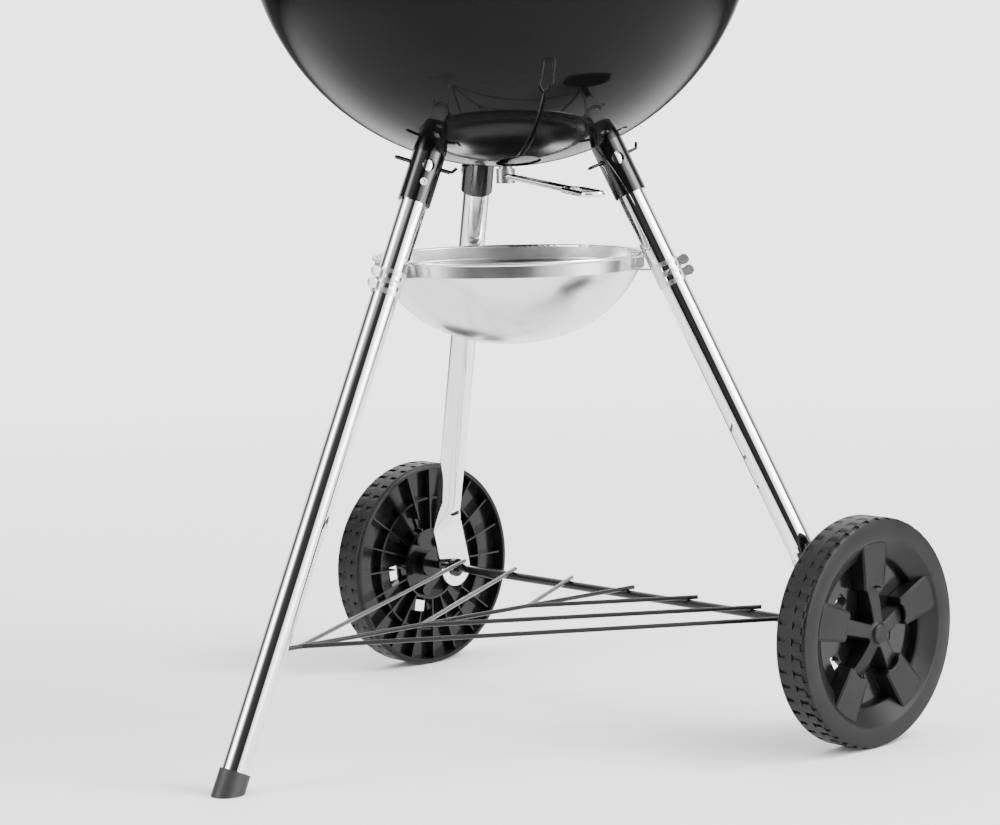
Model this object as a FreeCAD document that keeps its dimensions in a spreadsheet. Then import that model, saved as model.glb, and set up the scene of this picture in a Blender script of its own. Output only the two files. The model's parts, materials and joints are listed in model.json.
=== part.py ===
import FreeCAD, Part
import math
import os
import Sketcher

# Kettle charcoal grill on three legs. Millimetres, +Z up, front is -Y.
# Everything is laid out about the bowl's own vertical axis and then shifted by
# (axis_x, axis_y), so that the frame's origin is under the middle of the whole object.
# The undercarriage has a layout of its own: u points from the bowl's axis to the
# axle, v runs along the axle, and the whole layout is turned by undercarriage_yaw.

Vector = FreeCAD.Vector
Rotation = FreeCAD.Rotation
Placement = FreeCAD.Placement

DIMENSIONS = {
    # where the bowl's axis stands in the frame
    "axis_x": -29.65,
    "axis_y": -74.2,
    "undercarriage_yaw": 30,
    # bowl
    "bowl_radius": 226.3,
    "bowl_centre_height": 736.4,
    "bowl_sheet": 1.2,
    "rim_flange": 6,
    "rim_bead_radius": 3,
    "vent_inner": 24,
    "vent_length": 48,
    "vent_width": 40,
    "shaft_radius": 6,
    "running_clearance": 0.05,
    # sweeper and its lever
    "blade_margin": 4,
    "blade_gap": 0.5,
    "blade_sheet": 1.2,
    "blade_offset_angle": 20,
    "sweeper_hub_radius": 21,
    "lever_azimuth": -85,
    "lever_height": 502,
    "lever_slope": 2,
    "lever_length": 229,
    "lever_wire_radius": 3,
    "loop_length": 52,
    "loop_width": 24,
    # legs
    "leg_radius": 12,
    "leg_wall": 1.2,
    "foot_leg_reach": 338,
    "foot_leg_slope": 0.4685,
    "wheel_leg_reach": 344.9,
    "wheel_leg_slope": 0.4747,
    "socket_radius": 14.5,
    "socket_fit": 0.05,
    "socket_length": 50,
    "clip_wire_radius": 1.35,
    "clip_length": 54,
    "tab_width": 37,
    "tab_thickness": 3,
    "tab_shoulder": 42.1,
    "foot_cap_radius": 13.6,
    "foot_cap_length": 20,
    # axle and wheels
    "axle_radius": 4,
    "axle_height": 101.6,
    "axle_offset": 148.4,
    "tab_offset": 239.6,
    "wheel_offset": 287.1,
    "wheel_radius": 101.6,
    "wheel_width": 32.3,
    "wheel_face_radius": 100,
    "wheel_wall": 5,
    "hub_radius": 13,
    "spoke_phase": 101,
    "spoke_number": 5,
    "rib_number": 20,
    # rack
    "rack_wire_radius": 2,
    "rack_rise": 5.8,
    "rack_overhang": 7,
    "rack_vertex_1": -254.7,
    "rack_vertex_2": -116.0,
    "rack_vertex_3": 16.5,
    "rack_half_width_1": 229,
    "rack_half_width_2": 156,
    "rack_half_width_3": 78,
    # ash pan and its clamps
    "pan_radius": 123.4,
    "pan_rim_height": 432.8,
    "pan_shift": 2.4,
    "pan_band": 12.5,
    "pan_depth": 80,
    "pan_sheet": 1,
    "pan_floor_radius": 160,
    "pan_floor_angle": 20,
    "clamp_height": 415,
    "clamp_width": 22,
    "clamp_sheet": 1.1,
    # lid
    "lid_radius": 230,
    "lid_rise": 185,
    "lid_shoulder_radius": 150,
    "lid_crown_radius": "=((lid_radius - lid_shoulder_radius)^2 + lid_rise^2"
                        " - lid_shoulder_radius^2) / (2 * (lid_rise - lid_shoulder_radius))",
    "lid_sheet": 1.2,
    "lid_gap": 0.3,
    "skirt_radius": 221.5,
    "skirt_depth": 12,
    "damper_radius": 34,
    "damper_tilt": 34,
    # handles
    "handle_wire_radius": 4,
    "grip_radius": 12,
    "grip_length": 104,
    "side_handle_height": 705,
    # grates
    "grate_wire_radius": 2,
    "grate_radius": 212,
    "grate_height": 716,
    "charcoal_radius": 168,
    "charcoal_height": 598,
    "grate_hoop_radius": 3,
}

doc = FreeCAD.newDocument("kettle_grill")
sheet = doc.addObject("Spreadsheet::Sheet", "Dim")
for row, (alias, number) in enumerate(DIMENSIONS.items(), start=1):
    sheet.set(f"A{row}", alias)
    sheet.set(f"B{row}", str(number))
    sheet.setAlias(f"B{row}", alias)
doc.recompute()

nodes = []


def value(formula):
    """The number a formula over the sheet gives."""
    result = sheet.evalExpression(formula)
    return float(getattr(result, "Value", result))


def dim(alias):
    return value(f"Dim.{alias}")


def bind(item, **formulas):
    """Ties properties of an object to formulas over the sheet."""
    for name, formula in formulas.items():
        item.setExpression(name, str(formula))


def node(item, name, placement=None):
    """Marks an object as one finished sub-part, named for its file."""
    item.Label = name
    if placement is not None:
        item.Placement = placement.multiply(item.Placement)
    nodes.append(item)
    return item


def shift(x, y, z):
    return Placement(Vector(x, y, z), Rotation())


def turn(axis, degrees):
    return Placement(Vector(), Rotation(axis, degrees))


X = Vector(1, 0, 0)
Y = Vector(0, 1, 0)
Z = Vector(0, 0, 1)
FRAME = shift(dim("axis_x"), dim("axis_y"), 0)
UNDER = FRAME.multiply(turn(Z, dim("undercarriage_yaw")))


# ---------------------------------------------------------------- primitives

def cylinder(name, radius, height, placement=None):
    item = doc.addObject("Part::Cylinder", name)
    bind(item, Radius=radius, Height=height)
    if placement is not None:
        item.Placement = placement
    return item


def box(name, length, width, height, placement):
    item = doc.addObject("Part::Box", name)
    bind(item, Length=length, Width=width, Height=height)
    item.Placement = placement
    return item


def sphere(name, radius, placement=None):
    item = doc.addObject("Part::Sphere", name)
    bind(item, Radius=radius)
    if placement is not None:
        item.Placement = placement
    return item


def torus(name, major, minor, placement=None):
    item = doc.addObject("Part::Torus", name)
    bind(item, Radius1=major, Radius2=minor)
    if placement is not None:
        item.Placement = placement
    return item


def fuse(name, shapes):
    item = doc.addObject("Part::MultiFuse", name)
    item.Shapes = shapes
    return item


def cut(name, base, tools):
    item = doc.addObject("Part::Cut", name)
    item.Base = base
    item.Tool = tools[0] if len(tools) == 1 else fuse(name + "_tools", tools)
    return item


def common(name, shapes):
    item = doc.addObject("Part::MultiCommon", name)
    item.Shapes = shapes
    return item


def group(name, shapes):
    item = doc.addObject("Part::Compound", name)
    item.Links = shapes
    return item


def along(start, end):
    """Placement at start whose +Z points to end."""
    return Placement(start, Rotation(Z, end.sub(start)))


def rod(name, start, end, radius):
    return cylinder(name, radius, end.sub(start).Length, along(start, end))


def bent_rod(name, points, radius, bend):
    """A round wire along a line of points, its corners rounded to the bend radius."""
    pieces = []
    start = points[0]
    for index in range(1, len(points) - 1):
        corner = points[index]
        before = corner.sub(points[index - 1]).normalize()
        after = points[index + 1].sub(corner).normalize()
        angle = before.getAngle(after)
        setback = bend * math.tan(angle / 2)
        arc_start = corner.sub(before * setback)
        inward = after.sub(before * before.dot(after)).normalize()
        centre = arc_start.add(inward * bend)
        pieces.append(rod(f"{name}_run{index}", start, arc_start, radius))
        arc = torus(f"{name}_bend{index}", bend, radius)
        arc.Angle3 = math.degrees(angle)
        outward = inward * -1
        arc.Placement = Placement(centre, Rotation(outward, before, outward.cross(before), "XYZ"))
        pieces.append(arc)
        start = corner.add(after * setback)
    pieces.append(rod(f"{name}_run{len(points)}", start, points[-1], radius))
    return fuse(name, pieces)


# ------------------------------------------------------------------ sketches

def origin_plane(body, role):
    return [item for item in body.Origin.OriginFeatures if item.Role == role][0]


def arc_middle(first, last, radius):
    """Middle point of the arc; a positive radius turns left along the way."""
    chord = last.sub(first)
    half = chord.Length / 2
    middle = first.add(chord * 0.5)
    side = Vector(chord.y, -chord.x, 0).normalize()
    size = abs(radius)
    sagitta = size - math.sqrt(max(size * size - half * half, 0))
    return middle.add(side * math.copysign(sagitta, radius))


def outline(body, name, role, corners):
    """A closed sketch. A corner is (x, y), or (x, y, radius, turn): an arc runs to the next."""
    sketch = body.newObject("Sketcher::SketchObject", name)
    sketch.AttachmentSupport = [(origin_plane(body, role), "")]
    sketch.MapMode = "FlatFace"
    points = [Vector(value(corner[0]), value(corner[1]), 0) for corner in corners]
    count = len(corners)
    for index, corner in enumerate(corners):
        first = points[index]
        last = points[(index + 1) % count]
        if len(corner) == 2:
            sketch.addGeometry(Part.LineSegment(first, last))
        else:
            middle = arc_middle(first, last, math.copysign(value(corner[2]), corner[3]))
            ways = (first, last) if corner[3] > 0 else (last, first)
            sketch.addGeometry(Part.Arc(ways[0], middle, ways[1]))
    ends = [(2, 1) if len(corner) == 4 and corner[3] < 0 else (1, 2) for corner in corners]
    for index, corner in enumerate(corners):
        following = (index + 1) % count
        sketch.addConstraint(Sketcher.Constraint(
            "Coincident", index, ends[index][1], following, ends[following][0]))
        for axis, kind, line in ((0, "DistanceX", -2), (1, "DistanceY", -1)):
            size = points[index][axis]
            if abs(size) < 1e-9:
                sketch.addConstraint(Sketcher.Constraint(
                    "PointOnObject", index, ends[index][0], line))
            else:
                number = sketch.addConstraint(Sketcher.Constraint(
                    kind, -1, 1, index, ends[index][0], size))
                sketch.setExpression(f"Constraints[{number}]", str(corner[axis]))
        if len(corner) == 4:
            number = sketch.addConstraint(Sketcher.Constraint("Radius", index, value(corner[2])))
            sketch.setExpression(f"Constraints[{number}]", str(corner[2]))
    return sketch


def revolved(name, corners, circles=()):
    """A body turned about its Z axis from an (r, z) outline, with bead circles (r, z, radius)."""
    body = doc.addObject("PartDesign::Body", name)
    sketch = outline(body, name + "_profile", "XZ_Plane", corners)
    turned = body.newObject("PartDesign::Revolution", name + "_turned")
    turned.Profile = sketch
    turned.ReferenceAxis = (sketch, ["V_Axis"])
    turned.Angle = 360
    for index, (r, z, radius) in enumerate(circles):
        ring = body.newObject("Sketcher::SketchObject", f"{name}_bead{index}")
        ring.AttachmentSupport = [(origin_plane(body, "XZ_Plane"), "")]
        ring.MapMode = "FlatFace"
        ring.addGeometry(Part.Circle(Vector(value(r), value(z), 0), Z, value(radius)))
        sizes = (("DistanceX", r), ("DistanceY", z))
        for kind, formula in sizes:
            if abs(value(formula)) < 1e-9:
                ring.addConstraint(Sketcher.Constraint("PointOnObject", 0, 3, -1))
                continue
            number = ring.addConstraint(Sketcher.Constraint(kind, -1, 1, 0, 3, value(formula)))
            ring.setExpression(f"Constraints[{number}]", str(formula))
        number = ring.addConstraint(Sketcher.Constraint("Radius", 0, value(radius)))
        ring.setExpression(f"Constraints[{number}]", str(radius))
        bead = body.newObject("PartDesign::Revolution", f"{name}_bead_turned{index}")
        bead.Profile = ring
        bead.ReferenceAxis = (ring, ["V_Axis"])
        bead.Angle = 360
    return body


def padded(name, corners, length, placement=None, midplane=False):
    """A body padded along its Z axis from an (x, y) outline."""
    body = doc.addObject("PartDesign::Body", name)
    sketch = outline(body, name + "_outline", "XY_Plane", corners)
    pad = body.newObject("PartDesign::Pad", name + "_pad")
    pad.Profile = sketch
    pad.Midplane = midplane
    bind(pad, Length=length)
    if placement is not None:
        body.Placement = placement
    return body


# ---------------------------------------------------------------------- bowl

def lens(name, length, width, height, placement):
    """A pointed oval prism, from two cylinders that cross; its length lies along X."""
    radius = f"(({length})^2 / 4 + ({width})^2 / 4) / ({width})"
    offset = value(f"{radius} - ({width}) / 2")
    sides = []
    for side in (-1, 1):
        place = placement.multiply(shift(0, side * offset, 0))
        sides.append(cylinder(f"{name}_side{side + 1}", radius, height, place))
    return common(name, sides)


def build_bowl():
    inner = "(Dim.bowl_radius - Dim.bowl_sheet)"
    hole = "(Dim.shaft_radius + Dim.running_clearance)"
    flange_low = "2"
    flange_top = "2 + Dim.bowl_sheet"
    flange_end = "Dim.bowl_radius + Dim.rim_flange"
    shell = revolved("bowl_shell", [
        (hole, f"-sqrt(Dim.bowl_radius^2 - {hole}^2)", "Dim.bowl_radius", 1),
        ("Dim.bowl_radius", "0"),
        ("Dim.bowl_radius", flange_low),
        (flange_end, flange_low),
        (flange_end, flange_top),
        (inner, flange_top),
        (inner, "0", inner, -1),
        (hole, f"-sqrt({inner}^2 - {hole}^2)"),
    ], [("Dim.bowl_radius + Dim.rim_flange + 1", "2 + Dim.bowl_sheet / 2", "Dim.rim_bead_radius")])
    shell.Placement = shift(0, 0, dim("bowl_centre_height"))
    middle = value("Dim.vent_inner + Dim.vent_length / 2")
    low = value("Dim.bowl_centre_height - Dim.bowl_radius - 10")
    vents = []
    for index in range(3):
        place = turn(Z, -90 + 120 * index).multiply(shift(middle, 0, low))
        vents.append(lens(f"bowl_vent{index}", "Dim.vent_length", "Dim.vent_width", "50", place))
    node(cut("bowl", shell, vents), "bowl", FRAME)


def build_grate_supports():
    """Spot-welded brackets inside the bowl: upper ones for the cooking grate, lower for the fire grate."""
    inner = dim("bowl_radius") - dim("bowl_sheet")
    upper = []
    lower = []
    for index in range(4):
        around = turn(Z, 45 + 90 * index)
        high = dim("grate_height") - dim("grate_hoop_radius") - 2.3
        reach = math.sqrt(inner ** 2 - (dim("bowl_centre_height") - high) ** 2)
        upper.append(box(f"upper_tab{index}", 16, 24, 2,
                         around.multiply(shift(reach - 15.8, -12, high))))
        low = dim("charcoal_height") - dim("grate_hoop_radius") - 2.3
        reach = math.sqrt(inner ** 2 - (dim("bowl_centre_height") - low) ** 2)
        lower.append(box(f"lower_tab{index}", 20, 24, 2,
                         around.multiply(shift(reach - 19.0, -12, low))))
    inside = sphere("bowl_inside", inner, shift(0, 0, dim("bowl_centre_height")))
    node(common("cooking_grate_tabs", [group("upper_tabs", upper), inside]),
         "cooking_grate_tabs", FRAME)
    node(common("charcoal_grate_tabs", [group("lower_tabs", lower), inside]),
         "charcoal_grate_tabs", FRAME)


def build_sweeper():
    """Three blades on a hub above the vents, a shaft through the bowl and a wire lever below."""
    centre = shift(0, 0, dim("bowl_centre_height"))
    outer = sphere("blade_outer", "Dim.bowl_radius - Dim.bowl_sheet - Dim.blade_gap", centre)
    inner = sphere(
        "blade_inner",
        "Dim.bowl_radius - Dim.bowl_sheet - Dim.blade_gap - Dim.blade_sheet", centre)
    skin = cut("blade_skin", outer, [inner])
    middle = value("Dim.vent_inner + Dim.vent_length / 2")
    low = value("Dim.bowl_centre_height - Dim.bowl_radius - 10")
    length = "Dim.vent_length + 2 * Dim.blade_margin"
    width = "Dim.vent_width + 2 * Dim.blade_margin"
    shapes = [cylinder("blade_hub", "Dim.sweeper_hub_radius + 4", "50", shift(0, 0, low))]
    for index in range(3):
        angle = -90 + dim("blade_offset_angle") + 120 * index
        place = turn(Z, angle).multiply(shift(middle, 0, low))
        shapes.append(lens(f"blade_plan{index}", length, width, "50", place))
    plan = fuse("blade_plan", shapes)
    bottom = dim("bowl_centre_height") - dim("bowl_radius")
    hole = cylinder("blade_hole", "Dim.shaft_radius", "60", shift(0, 0, bottom - 20))
    blades = cut("sweeper_blades", common("blade_sheet_trimmed", [skin, plan]), [hole])
    node(blades, "sweeper_blades", FRAME)

    shaft_low = dim("lever_height") - 6.5
    shaft = revolved("sweeper_shaft_turned", [
        ("0", "0"),
        ("Dim.shaft_radius + 2.5", "0"),
        ("Dim.shaft_radius + 2.5", "13"),
        ("Dim.shaft_radius", "13"),
        ("Dim.shaft_radius", "25"),
        ("Dim.shaft_radius - 2", "27"),
        ("0", "27"),
    ])
    lever_way = turn(Z, dim("lever_azimuth")).multiply(
        shift(0, 0, dim("lever_height"))).multiply(turn(Y, dim("lever_slope")))
    socket = cylinder("lever_socket", "Dim.lever_wire_radius", "Dim.lever_length / 2",
                      lever_way.multiply(turn(Y, 90)))
    shaft.Placement = shift(0, 0, shaft_low)
    node(cut("sweeper_shaft_drilled", shaft, [socket]), "sweeper_shaft", FRAME)

    end = dim("lever_length") - dim("lever_wire_radius")
    neck = end - dim("loop_length")
    half = dim("loop_width") / 2 - dim("lever_wire_radius")
    arm = rod("lever_arm", Vector(0, 0, 0), Vector(neck, 0, 0), "Dim.lever_wire_radius")
    loop = bent_rod("lever_loop", [
        Vector(neck - 14, 0, 0),
        Vector(neck, half, 0),
        Vector(end, half, 0),
        Vector(end, -half, 0),
        Vector(neck, -half, 0),
        Vector(neck - 14, 0, 0),
    ], "Dim.lever_wire_radius * 0.8", 7)
    node(fuse("sweep_lever", [arm, loop]), "sweep_lever", FRAME.multiply(lever_way))


# ---------------------------------------------------------------------- legs

def leg_frame(azimuth, reach, slope):
    """Origin where the leg's axis meets the floor, +Z up the leg, +X outwards."""
    angle = math.radians(azimuth)
    out = Vector(math.cos(angle), math.sin(angle), 0)
    up = Vector(-slope * out.x, -slope * out.y, 1).normalize()
    side = Vector(-out.y, out.x, 0)
    rotation = Rotation(side.cross(up), side, up, "XYZ")
    return Placement(out * reach, rotation)


FOOT_LEG = leg_frame(180, dim("foot_leg_reach"), dim("foot_leg_slope"))
NEAR_LEG = leg_frame(-60, dim("wheel_leg_reach"), dim("wheel_leg_slope"))
BACK_LEG = leg_frame(60, dim("wheel_leg_reach"), dim("wheel_leg_slope"))
LEGS = {"foot": FOOT_LEG, "near": NEAR_LEG, "back": BACK_LEG}


def slope_length(slope):
    return math.sqrt(1 + slope * slope)


def top_of_leg(name):
    """Distance up the leg's axis to the outside of the bowl."""
    kind = "foot_leg" if name == "foot" else "wheel_leg"
    reach = dim(kind + "_reach")
    slope = dim(kind + "_slope")
    height = dim("bowl_centre_height")
    radius = dim("bowl_radius")
    square = 1 + slope * slope
    half = height + reach * slope
    rest = height * height + reach * reach - radius * radius
    lowest = (half - math.sqrt(half * half - square * rest)) / square
    return lowest * slope_length(slope)


def clip_wire(name, place, top, radius):
    """A hairpin of spring wire pushed through socket and leg, its free end bent up."""
    half = dim("clip_length") / 2
    arm = 1.9
    wire = bent_rod(name, [
        Vector(half - 5, arm, 0),
        Vector(-half, arm, 0),
        Vector(-half, -arm, 0),
        Vector(half - 3, -arm, 0),
        Vector(half, -arm, 5),
    ], radius, 1.85)
    wire.Placement = place.multiply(shift(0, 0, top - 15))
    return wire


def clip_way(name):
    """The leg's frame turned so that +X runs along the clip that goes through it."""
    return LEGS[name].multiply(turn(Z, {"foot": 135, "near": 45, "back": -45}[name]))


def clip_slot(name, leg):
    """The slot right through a socket or leg that the clip's two arms lie in."""
    place = clip_way(leg).multiply(shift(0, 0, top_of_leg(leg) - 15))
    length = dim("clip_length") + 10
    return box(name, length, 7.4, 3.4, place.multiply(shift(-length / 2, -3.7, -1.7)))


def build_legs():
    for name, place in LEGS.items():
        top = top_of_leg(name)
        bottom = top - dim("socket_length")
        ball = sphere(f"socket_{name}_ball", "Dim.bowl_radius",
                      UNDER.inverse().multiply(FRAME).multiply(
                          shift(0, 0, dim("bowl_centre_height"))))
        tube = cylinder(f"socket_{name}_tube", "Dim.socket_radius", "Dim.socket_length + 10",
                        place.multiply(shift(0, 0, bottom)))
        bore = cylinder(f"socket_{name}_bore", "Dim.leg_radius + Dim.socket_fit", "200",
                        place.multiply(shift(0, 0, bottom - 20)))
        tools = [ball, bore]
        tools.append(clip_slot(f"socket_{name}_slot", name))
        for side in (-60, 60):
            window = place.multiply(shift(0, 0, top - 17)).multiply(
                turn(Z, side)).multiply(turn(Y, 90))
            tools.append(cylinder(f"socket_{name}_window{side + 60}", 5.5, 30, window))
        rivet = place.multiply(shift(0, 0, bottom + 17)).multiply(turn(Z, 60)).multiply(turn(Y, 90))
        tools.append(cylinder(f"socket_{name}_rivet_hole", 2, 30, rivet))
        socket = cut(f"leg_socket_{name}", tube, tools)
        node(socket, f"leg_socket_{name}", UNDER)


def build_clips_and_rivets():
    clips = []
    rivets = []
    for name, place in LEGS.items():
        top = top_of_leg(name)
        clips.append(clip_wire(f"clip_{name}", clip_way(name), top, "Dim.clip_wire_radius"))
        level = top - dim("socket_length") + 17
        radial = place.multiply(shift(0, 0, level)).multiply(turn(Z, 60)).multiply(turn(Y, 90))
        head = cylinder(f"rivet_{name}_head", 3.3, 1.2, radial.multiply(shift(0, 0, 14.5)))
        dimple = cylinder(f"rivet_{name}_dimple", 1.5, 3, radial.multiply(shift(0, 0, 14)))
        shank = cylinder(f"rivet_{name}_shank", 2, 5.2, radial.multiply(shift(0, 0, 9.4)))
        rivets.append(cut(f"rivet_{name}", fuse(f"rivet_{name}_blank", [head, shank]), [dimple]))
    node(group("leg_clips", clips), "leg_clips", UNDER)
    node(group("leg_rivets", rivets), "leg_rivets", UNDER)


def leg_holes(name, place):
    """What is taken out of a leg at its upper end: the clip's notches and the rivet's hole."""
    level = top_of_leg(name) - dim("socket_length") + 17
    radial = place.multiply(shift(0, 0, level)).multiply(turn(Z, 60)).multiply(turn(Y, 90))
    return [clip_slot(f"leg_{name}_slot", name), cylinder(f"leg_{name}_rivet_hole", 2, 30, radial)]


def build_foot_leg():
    top = top_of_leg("foot")
    low = 10
    tube = cylinder("foot_leg_tube", "Dim.leg_radius", top - 3 - low,
                    FOOT_LEG.multiply(shift(0, 0, low)))
    inside = cylinder("foot_leg_inside", "Dim.leg_radius - Dim.leg_wall", top,
                      FOOT_LEG.multiply(shift(0, 0, low - 5)))
    start, end = spine_ends()
    spine_hole = rod("foot_leg_spine_hole", start, start + (end - start) * 0.1,
                     "Dim.rack_wire_radius + 0.05")
    node(cut("leg_foot", tube, [inside, spine_hole] + leg_holes("foot", FOOT_LEG)),
         "leg_foot", UNDER)

    block = cylinder("foot_cap_block", "Dim.foot_cap_radius", "Dim.foot_cap_length + 15",
                     FOOT_LEG.multiply(shift(0, 0, -15)))
    seat = cylinder("foot_cap_seat", "Dim.leg_radius", 60, FOOT_LEG.multiply(shift(0, 0, low)))
    floor = box("foot_cap_floor", 120, 120, 60, shift(-dim("foot_leg_reach") - 60, -60, -60))
    node(cut("foot_cap", block, [seat, floor]), "foot_cap", UNDER)


def stadium_wire(width, thickness, frame):
    """A flat oval, long in its own X, as a wire for a loft."""
    half = max((width - thickness) / 2, 0.001)
    radius = thickness / 2
    arc_right = Part.Arc(Vector(half, -radius, 0), Vector(half + radius, 0, 0),
                         Vector(half, radius, 0)).toShape()
    arc_left = Part.Arc(Vector(-half, radius, 0), Vector(-half - radius, 0, 0),
                        Vector(-half, -radius, 0)).toShape()
    top = Part.LineSegment(Vector(half, radius, 0), Vector(-half, radius, 0)).toShape()
    bottom = Part.LineSegment(Vector(-half, -radius, 0), Vector(half, -radius, 0)).toShape()
    wire = Part.Wire([arc_right, top, arc_left, bottom])
    wire.Placement = frame
    return wire


def build_wheel_leg(name, side):
    """A round tube, pressed flat below into a tab that carries the axle."""
    place = LEGS[name]
    slope = dim("wheel_leg_slope")
    stretch = slope_length(slope)
    shoulder = dim("axle_height") + dim("tab_shoulder")
    neck = (shoulder + 30) * stretch
    top = top_of_leg(name)
    inside = cylinder(f"leg_{name}_inside", "Dim.leg_radius - Dim.leg_wall", top,
                      place.multiply(shift(0, 0, neck + 1)))
    thickness = dim("tab_thickness")
    width = dim("tab_width")
    lean = slope * math.cos(math.radians(60))
    down = Vector(lean, 0, -1).normalize()
    along_u = Vector(1, 0, lean).normalize()
    flat = Rotation(along_u, Y, along_u.cross(Y), "XYZ")
    start = place.multVec(Vector(0, 0, neck))
    axle_point = Vector(dim("axle_offset"), side * dim("tab_offset"), dim("axle_height"))
    shoulder_point = axle_point.sub(down * (dim("tab_shoulder") * math.sqrt(1 + lean * lean)))
    round_rotation = place.Rotation.multiply(Rotation(Z, -side * 60))
    round_size = 2 * dim("leg_radius")
    upper_end = Placement(place.multVec(Vector(0, 0, top - 3)), round_rotation)
    sections = [stadium_wire(round_size + 0.02, round_size, upper_end)]
    steps = 8
    for index in range(steps + 1):
        step = index / steps
        ease = step * step * (3 - 2 * step)
        point = start.add(shoulder_point.sub(start) * step)
        wide = round_size + (width - round_size) * ease
        thick = round_size + (thickness - round_size) * ease
        frame = Placement(point, Rotation.slerp(round_rotation, flat, step))
        sections.append(stadium_wire(wide + 0.02, thick, frame))
    loft = doc.addObject("Part::Feature", f"leg_{name}_neck")
    loft.Shape = Part.makeLoft(sections, True, True)
    plate = Placement(axle_point, Rotation(along_u, down * -1, along_u.cross(down * -1), "XYZ"))
    tab = padded(f"leg_{name}_tab", [
        ("-Dim.tab_width / 2", "0", "Dim.tab_width / 2", 1),
        ("0", "-Dim.tab_width / 2", "Dim.tab_width / 2", 1),
        ("Dim.tab_width / 2", "0"),
        ("Dim.tab_width / 2", f"Dim.tab_shoulder * {math.sqrt(1 + lean * lean)} + 0.3"),
        ("-Dim.tab_width / 2", f"Dim.tab_shoulder * {math.sqrt(1 + lean * lean)} + 0.3"),
    ], "Dim.tab_thickness", plate, True)
    blank = fuse(f"leg_{name}_blank", [loft, tab])
    axle_way = shift(axle_point.x, axle_point.y - 20, axle_point.z).multiply(turn(X, -90))
    axle_hole = cylinder(f"leg_{name}_axle_hole", "Dim.axle_radius", 40, axle_way)
    node(cut(f"leg_wheel_{name}", blank, [inside, axle_hole] + leg_holes(name, place)),
         f"leg_wheel_{name}", UNDER)


# ----------------------------------------------------------- axle and wheels

def build_axle():
    """The axle, with a push cap on each end outside the wheels."""
    half = "(Dim.wheel_offset + Dim.wheel_width / 2 + 2)"
    place = shift(dim("axle_offset"), -value(half), dim("axle_height")).multiply(turn(X, -90))
    node(cylinder("axle", "Dim.axle_radius", f"2 * {half}", place), "axle", UNDER)
    washers = []
    for side in (-1, 1):
        for index, offset in enumerate((2.2, -2.2)):
            level = dim("tab_offset") + offset
            start = level if offset > 0 else level - 1.5
            spot = shift(dim("axle_offset"), 0, dim("axle_height")).multiply(
                turn(X, -90 * side)).multiply(shift(0, 0, start))
            disc = cylinder(f"washer_disc{side + 1}{index}", 9, 1.5, spot)
            hole = cylinder(f"washer_hole{side + 1}{index}", "Dim.axle_radius", 1.5, spot)
            washers.append(cut(f"washer{side + 1}{index}", disc, [hole]))
    node(group("axle_washers", washers), "axle_washers", UNDER)


def wheel_frame(side):
    """Origin at the wheel's middle, +Z outboard and +Y up. side is -1 for the near wheel."""
    spot = shift(dim("axle_offset"), side * dim("wheel_offset"), dim("axle_height"))
    if side < 0:
        return spot.multiply(turn(X, 90))
    return spot.multiply(turn(Z, 180)).multiply(turn(X, 90))


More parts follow.
